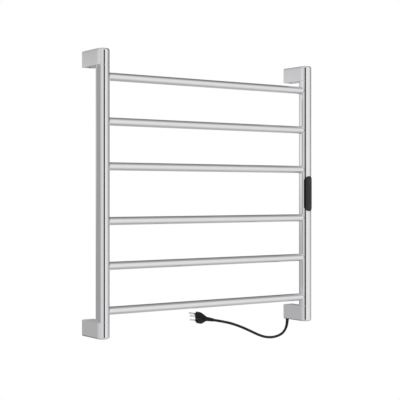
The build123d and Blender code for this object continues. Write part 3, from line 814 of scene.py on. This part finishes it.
def capsule_ring(inset, radius):
    """The control's outline, inset all round, laid on a round shell."""
    half_width = CONTROL_HALF_WIDTH - inset
    half_height = CONTROL_HALF_HEIGHT - inset
    corners = [
        Vector((half_width, half_height, 0)),
        Vector((-half_width, half_height, 0)),
        Vector((-half_width, -half_height, 0)),
        Vector((half_width, -half_height, 0)),
    ]
    outline = rounded_polygon(corners, CONTROL_CORNER - inset, CORNER_STEPS)
    return [on_the_shell(radius, point.x, point.y) for point in outline]


def control_housing():
    """A rim all round the face, with a rounded outer edge and a recess that the face sits in."""
    rings = [capsule_ring(CONTROL_LIP + LIP_WIDTH, SHELL_INNER), capsule_ring(0, SHELL_INNER)]
    for turn in quarter(CONTROL_EDGE_STEPS):
        inset = CONTROL_EDGE * (1 - math.cos(turn))
        rings.append(capsule_ring(inset, CONTROL_OUTER - CONTROL_EDGE * (1 - math.sin(turn))))
    rings.append(capsule_ring(CONTROL_EDGE + SUPPORT / 2, CONTROL_OUTER))
    for turn in quarter(EASE_STEPS):
        inset = CONTROL_LIP - LIP_EASE * (1 - math.sin(turn))
        rings.append(capsule_ring(inset, CONTROL_OUTER - LIP_EASE * (1 - math.cos(turn))))
    rings.append(capsule_ring(CONTROL_LIP, FACE_FLOOR))
    rings.append(capsule_ring(CONTROL_LIP + LIP_WIDTH, FACE_FLOOR))
    points, faces = close_loop(rings)
    piece = build_piece("control_housing_finish", points, faces, "control_black")
    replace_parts(piece, "control_housing")
    return piece


def power_button():
    """A round button whose front follows the shell, with a ring groove and a shallow dish."""
    back_rings = (
        (FLANGE_RADIUS, FLANGE_BACK),
        (FLANGE_RADIUS, FLANGE_BACK - FLANGE_THICKNESS),
        (BUTTON_RADIUS, FLANGE_BACK - FLANGE_THICKNESS),
    )
    along_x = Vector((1, 0, 0))
    along_z = Vector((0, 0, 1))
    rings = []
    for radius, depth in back_rings:
        centre = Vector((UPRIGHT_X, depth, BUTTON_Z))
        rings.append(circle_ring(centre, along_x, along_z, radius, BUTTON_SEGMENTS))
    profile = [(BUTTON_RADIUS, BUTTON_OUTER - 2 * BUTTON_EDGE)]
    for turn in quarter(BUTTON_EDGE_STEPS):
        radius = BUTTON_RADIUS - BUTTON_EDGE * (1 - math.cos(turn))
        profile.append((radius, BUTTON_OUTER - BUTTON_EDGE * (1 - math.sin(turn))))
    for radius, sink in GROOVE_AND_DISH:
        profile.append((radius * MM, BUTTON_OUTER - sink * MM))
    for radius, shell in profile:
        flat = circle_ring(Vector((0, 0, BUTTON_Z)), along_x, along_z, radius, BUTTON_SEGMENTS)
        rings.append([on_the_shell(shell, spot.x, spot.z) for spot in flat])
    points, faces = bridge_rings(rings, first_cap=True, last_cap=True)
    piece = build_piece("power_button_finish", points, faces, "button_grey", "button")
    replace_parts(piece, "power_button")
    return piece


control_housing()
power_button()


# ---- stage: camera, surroundings, floor and studio light -----------------------------------------
CAMERA_PLACE = (-1.5278, -2.2109, 0.0)
CAMERA_HEADING = 34.94
CAMERA_LENS = 95.76
CAMERA_SHIFT_Y = -0.0159
CAMERA_REACH = 50


def place_camera():
    data = bpy.data.cameras.new("camera")
    data.lens = CAMERA_LENS
    data.shift_y = CAMERA_SHIFT_Y
    data.clip_end = CAMERA_REACH
    camera = bpy.data.objects.new("camera", data)
    bpy.context.scene.collection.objects.link(camera)
    camera.location = CAMERA_PLACE
    camera.rotation_euler = (math.radians(90), 0, math.radians(-CAMERA_HEADING))
    bpy.context.scene.camera = camera


place_camera()
bpy.context.scene.view_settings.view_transform = "Standard"

# How bright the studio looks in reflections, as (cosine of the angle from a direction, grey).
ROOM_FRONT = Vector((0.26, -0.966, 0))
ROOM_LIGHT = (
    (-0.97, 0.52), (-0.47, 0.70), (-0.14, 0.75), (0.16, 0.76), (0.44, 0.79), (0.68, 0.83),
    (0.93, 0.95), (1.0, 1.0),
)
DARK_CORNER = Vector((0.778, 0.314, 0.545))
DARK_CORNER_SHADE = ((0.48, 1.0), (0.72, 0.66), (0.85, 0.40), (0.95, 0.30))
SKIRTING = Vector((0.123, 0.874, -0.469))
SKIRTING_SHADE = ((0.80, 1.0), (0.97, 0.35))
# The glow on the horizon: its strength, and the Z of a direction where it peaks, starts and ends.
GLOW = 0.42
GLOW_HEIGHT = 0.035
GLOW_BELOW = -0.06
GLOW_ABOVE = 0.175
# Each span: from one coordinate of a direction to another, and the factor at each of the two.
FLOOR_SPAN = (-1.0, -0.5, 0.66, 1.0)
GLOW_LEFT_SPAN = (-0.25, -0.05, 1.0, 0.0)
GLOW_BACK_SPAN = (-0.2, 0.0, 0.0, 1.0)


def combine(tree, operation, first, second):
    """A Math node on two inputs, each a socket or a number."""
    node = tree.nodes.new("ShaderNodeMath")
    node.operation = operation
    for socket, value in zip(node.inputs, (first, second)):
        if isinstance(value, float):
            socket.default_value = value
        else:
            tree.links.new(value, socket)
    return node.outputs["Value"]


def smooth_step(tree, value, start, end, low, high):
    """A soft change from low to high while value runs from start to end."""
    node = tree.nodes.new("ShaderNodeMapRange")
    node.interpolation_type = "SMOOTHSTEP"
    node.inputs["From Min"].default_value = start
    node.inputs["From Max"].default_value = end
    node.inputs["To Min"].default_value = low
    node.inputs["To Max"].default_value = high
    tree.links.new(value, node.inputs["Value"])
    return node.outputs["Result"]


def grey_towards(tree, direction, heading, stops):
    """A grey set by how far a direction points along heading."""
    facing = tree.nodes.new("ShaderNodeVectorMath")
    facing.operation = "DOT_PRODUCT"
    facing.inputs[1].default_value = heading
    tree.links.new(direction, facing.inputs[0])
    ramp = tree.nodes.new("ShaderNodeValToRGB")
    # A cosine from -1 to 1 becomes a share of the ramp from 0 to 1.
    share = combine(tree, "MULTIPLY_ADD", facing.outputs["Value"], 0.5)
    share.node.inputs[2].default_value = 0.5
    tree.links.new(share, ramp.inputs["Fac"])
    for _ in stops[2:]:
        ramp.color_ramp.elements.new(0.5)
    for element, (cosine, grey) in zip(ramp.color_ramp.elements, stops):
        element.position = (cosine + 1) / 2
        element.color = (grey, grey, grey, 1)
    return ramp.outputs["Color"]


def surroundings():
    """A white sweep for the camera, and for reflections a room that darkens behind the rack."""
    world = bpy.data.worlds.new("studio")
    bpy.context.scene.world = world
    world.use_nodes = True
    tree = world.node_tree
    tree.nodes.clear()
    place = tree.nodes.new("ShaderNodeTexCoord")
    direction = place.outputs["Generated"]
    split = tree.nodes.new("ShaderNodeSeparateXYZ")
    tree.links.new(direction, split.inputs["Vector"])

    light = grey_towards(tree, direction, ROOM_FRONT, ROOM_LIGHT)
    for heading, shade in ((DARK_CORNER, DARK_CORNER_SHADE), (SKIRTING, SKIRTING_SHADE)):
        light = combine(tree, "MULTIPLY", light, grey_towards(tree, direction, heading, shade))
    below = smooth_step(tree, split.outputs["Z"], *FLOOR_SPAN)
    light = combine(tree, "MULTIPLY", light, below)

    # A bright strip along the horizon, behind and to the left.
    rise = smooth_step(tree, split.outputs["Z"], GLOW_BELOW, GLOW_HEIGHT, 0.0, GLOW)
    fall = smooth_step(tree, split.outputs["Z"], GLOW_HEIGHT, GLOW_ABOVE, 1.0, 0.0)
    glow = combine(tree, "MULTIPLY", rise, fall)
    to_the_left = smooth_step(tree, split.outputs["X"], *GLOW_LEFT_SPAN)
    to_the_back = smooth_step(tree, split.outputs["Y"], *GLOW_BACK_SPAN)
    glow = combine(tree, "MULTIPLY", glow, to_the_left)
    glow = combine(tree, "MULTIPLY", glow, to_the_back)
    light = combine(tree, "ADD", light, glow)

    room = tree.nodes.new("ShaderNodeBackground")
    tree.links.new(light, room.inputs["Color"])
    sweep = tree.nodes.new("ShaderNodeBackground")
    sweep.inputs["Color"].default_value = (1, 1, 1, 1)
    rays = tree.nodes.new("ShaderNodeLightPath")
    choose = tree.nodes.new("ShaderNodeMixShader")
    tree.links.new(rays.outputs["Is Camera Ray"], choose.inputs["Fac"])
    tree.links.new(room.outputs["Background"], choose.inputs[1])
    tree.links.new(sweep.outputs["Background"], choose.inputs[2])
    output = tree.nodes.new("ShaderNodeOutputWorld")
    tree.links.new(choose.outputs["Shader"], output.inputs["Surface"])


surroundings()

FLOOR_PLACE = Vector((0, -1.4, -1.15))
FLOOR_RADIUS = 3.2
FLOOR_SEGMENTS = 96
FLOOR_ROUGHNESS = 0.9
FLOOR_FADE = (1.3, 3.0)
STAGE_GREY = (0.8, 0.8, 0.8, 1)
FLAG_PLACE = Vector((-0.319, -0.885, 0))
FLAG_ALONG = Vector((-0.683, 0.731, 0))
FLAG_SIZE = (0.44, 1.1)
FLAG_GREY = 0.01
# The side card glows an even grey to the left of the left upright and only reflections see it:
# painted shade, a darker band down the upright's left side.
SHADE_CARD_PLACE = Vector((-0.42, 0.01, 0))
SHADE_CARD_ALONG = Vector((0, 1, 0))
SHADE_CARD_SIZE = (0.28, 0.62)
SHADE_CARD_GREY = 0.43


def floor_material():
    """Pale matt paper that fades away at its far edge."""
    material = bpy.data.materials.new("floor")
    material.use_nodes = True
    tree = material.node_tree
    paper = tree.nodes["Principled BSDF"]
    paper.inputs["Base Color"].default_value = STAGE_GREY
    paper.inputs["Roughness"].default_value = FLOOR_ROUGHNESS
    paper.inputs["Specular IOR Level"].default_value = 0.0
    place = tree.nodes.new("ShaderNodeTexCoord")
    far = tree.nodes.new("ShaderNodeVectorMath")
    far.operation = "LENGTH"
    tree.links.new(place.outputs["Object"], far.inputs[0])
    fade = smooth_step(tree, far.outputs["Value"], *FLOOR_FADE, 0.0, 1.0)
    clear = tree.nodes.new("ShaderNodeBsdfTransparent")
    choose = tree.nodes.new("ShaderNodeMixShader")
    tree.links.new(fade, choose.inputs["Fac"])
    tree.links.new(paper.outputs["BSDF"], choose.inputs[1])
    tree.links.new(clear.outputs["BSDF"], choose.inputs[2])
    tree.links.new(choose.outputs["Shader"], tree.nodes["Material Output"].inputs["Surface"])
    return material


def floor():
    ring = circle_ring(Vector(), Vector((1, 0, 0)), Vector((0, 1, 0)), FLOOR_RADIUS, FLOOR_SEGMENTS)
    piece = raw_object("floor", ring, [tuple(range(len(ring)))])
    piece.location = FLOOR_PLACE
    piece.data.materials.append(floor_material())
    piece.visible_glossy = False


def reflected_card(name, centre, along, size, grey):
    """An upright card that only reflections see, glowing an even grey."""
    width, height = size
    corners = []
    for side, level in ((-1, -1), (1, -1), (1, 1), (-1, 1)):
        corners.append(centre + along * side * width / 2 + Vector((0, 0, level * height / 2)))
    piece = raw_object(name, corners, [(0, 1, 2, 3)])
    material = bpy.data.materials.new(name)
    material.use_nodes = True
    shader = material.node_tree.nodes["Principled BSDF"]
    shader.inputs["Base Color"].default_value = (0, 0, 0, 1)
    shader.inputs["Specular IOR Level"].default_value = 0.0
    shader.inputs["Emission Color"].default_value = (grey, grey, grey, 1)
    shader.inputs["Emission Strength"].default_value = 1.0
    piece.data.materials.append(material)
    piece.visible_camera = False
    piece.visible_diffuse = False
    piece.visible_shadow = False


floor()
reflected_card("studio_flag", FLAG_PLACE, FLAG_ALONG, FLAG_SIZE, FLAG_GREY)
# Painted shade: a grey glowing card whose reflection darkens the left side of the left upright.
reflected_card("painted_shade_card", SHADE_CARD_PLACE, SHADE_CARD_ALONG, SHADE_CARD_SIZE, SHADE_CARD_GREY)
